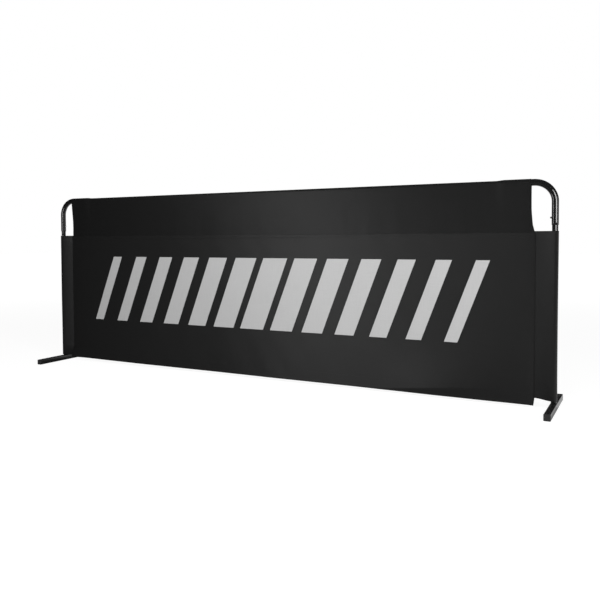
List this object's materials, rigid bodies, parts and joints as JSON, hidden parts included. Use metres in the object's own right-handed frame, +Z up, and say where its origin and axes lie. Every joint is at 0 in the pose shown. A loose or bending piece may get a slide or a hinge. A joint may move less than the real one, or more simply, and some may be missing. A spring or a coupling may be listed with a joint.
{
  "type": "table tennis barrier",
  "caption": "Low free-standing court barrier: bent tube frame on swivelling square-tube feet, with a black cloth cover that has a rail pocket, side sleeves and open upper corners.",
  "frame": {"origin": "on the floor under the middle of the barrier", "axes": "+X along the barrier to the right as seen from the front, -Y towards the viewer in front, +Z up"},
  "size_m": [2.03, 0.3, 0.7008],
  "materials": {
    "frame_paint": "glossy black powder coat",
    "foot_paint": "glossy black powder coat",
    "plug_plastic": "moulded black plastic",
    "button_steel": "zinc plated",
    "spring_steel": "oiled spring steel",
    "cover_cloth": "black woven polyester with a soft sheen"
  },
  "bodies": {
    "frame": {"rail_left": "frame_paint", "rail_right": "frame_paint", "rail_splice": "button_steel", "elbow_left": "frame_paint", "elbow_right": "frame_paint", "post_left": "frame_paint", "post_right": "frame_paint", "post_spring_left": "spring_steel", "post_spring_right": "spring_steel", "rail_spring_left": "spring_steel", "rail_spring_right": "spring_steel", "cover_panel": "cover_cloth", "cover_rail_pocket": "cover_cloth", "cover_sleeve_left": "cover_cloth", "cover_sleeve_right": "cover_cloth"},
    "foot_left": {"foot_left": "foot_paint", "foot_spigot_left": "foot_paint", "foot_plug_left_front": "plug_plastic", "foot_plug_left_back": "plug_plastic"},
    "foot_right": {"foot_right": "foot_paint", "foot_spigot_right": "foot_paint", "foot_plug_right_front": "plug_plastic", "foot_plug_right_back": "plug_plastic"},
    "post_button_left": {"post_button_left": "button_steel"},
    "post_button_right": {"post_button_right": "button_steel"},
    "rail_button_left": {"rail_button_left": "button_steel"},
    "rail_button_right": {"rail_button_right": "button_steel"}
  },
  "joints": [
    {"name": "foot_left_swivel", "type": "hinge", "parent": "frame", "child": "foot_left", "pos_m": [-1.005, 0, 0], "axis": [0, 0, -1], "range_deg": [-60, 90]},
    {"name": "foot_right_swivel", "type": "hinge", "parent": "frame", "child": "foot_right", "pos_m": [1.005, 0, 0], "axis": [0, 0, 1], "range_deg": [-60, 90]},
    {"name": "post_button_left_press", "type": "slide", "parent": "frame", "child": "post_button_left", "axis": [-1, 0, 0], "range_m": [0, 0.0055], "stiffness_N_per_m": 2000, "springref_m": -0.002, "deforming": ["post_spring_left"]},
    {"name": "post_button_right_press", "type": "slide", "parent": "frame", "child": "post_button_right", "axis": [1, 0, 0], "range_m": [0, 0.0055], "stiffness_N_per_m": 2000, "springref_m": -0.002, "deforming": ["post_spring_right"]},
    {"name": "rail_button_left_press", "type": "slide", "parent": "frame", "child": "rail_button_left", "axis": [0, 0, 1], "range_m": [0, 0.0055], "stiffness_N_per_m": 2000, "springref_m": -0.002, "deforming": ["rail_spring_left"]},
    {"name": "rail_button_right_press", "type": "slide", "parent": "frame", "child": "rail_button_right", "axis": [0, 0, 1], "range_m": [0, 0.0055], "stiffness_N_per_m": 2000, "springref_m": -0.002, "deforming": ["rail_spring_right"]}
  ]
}
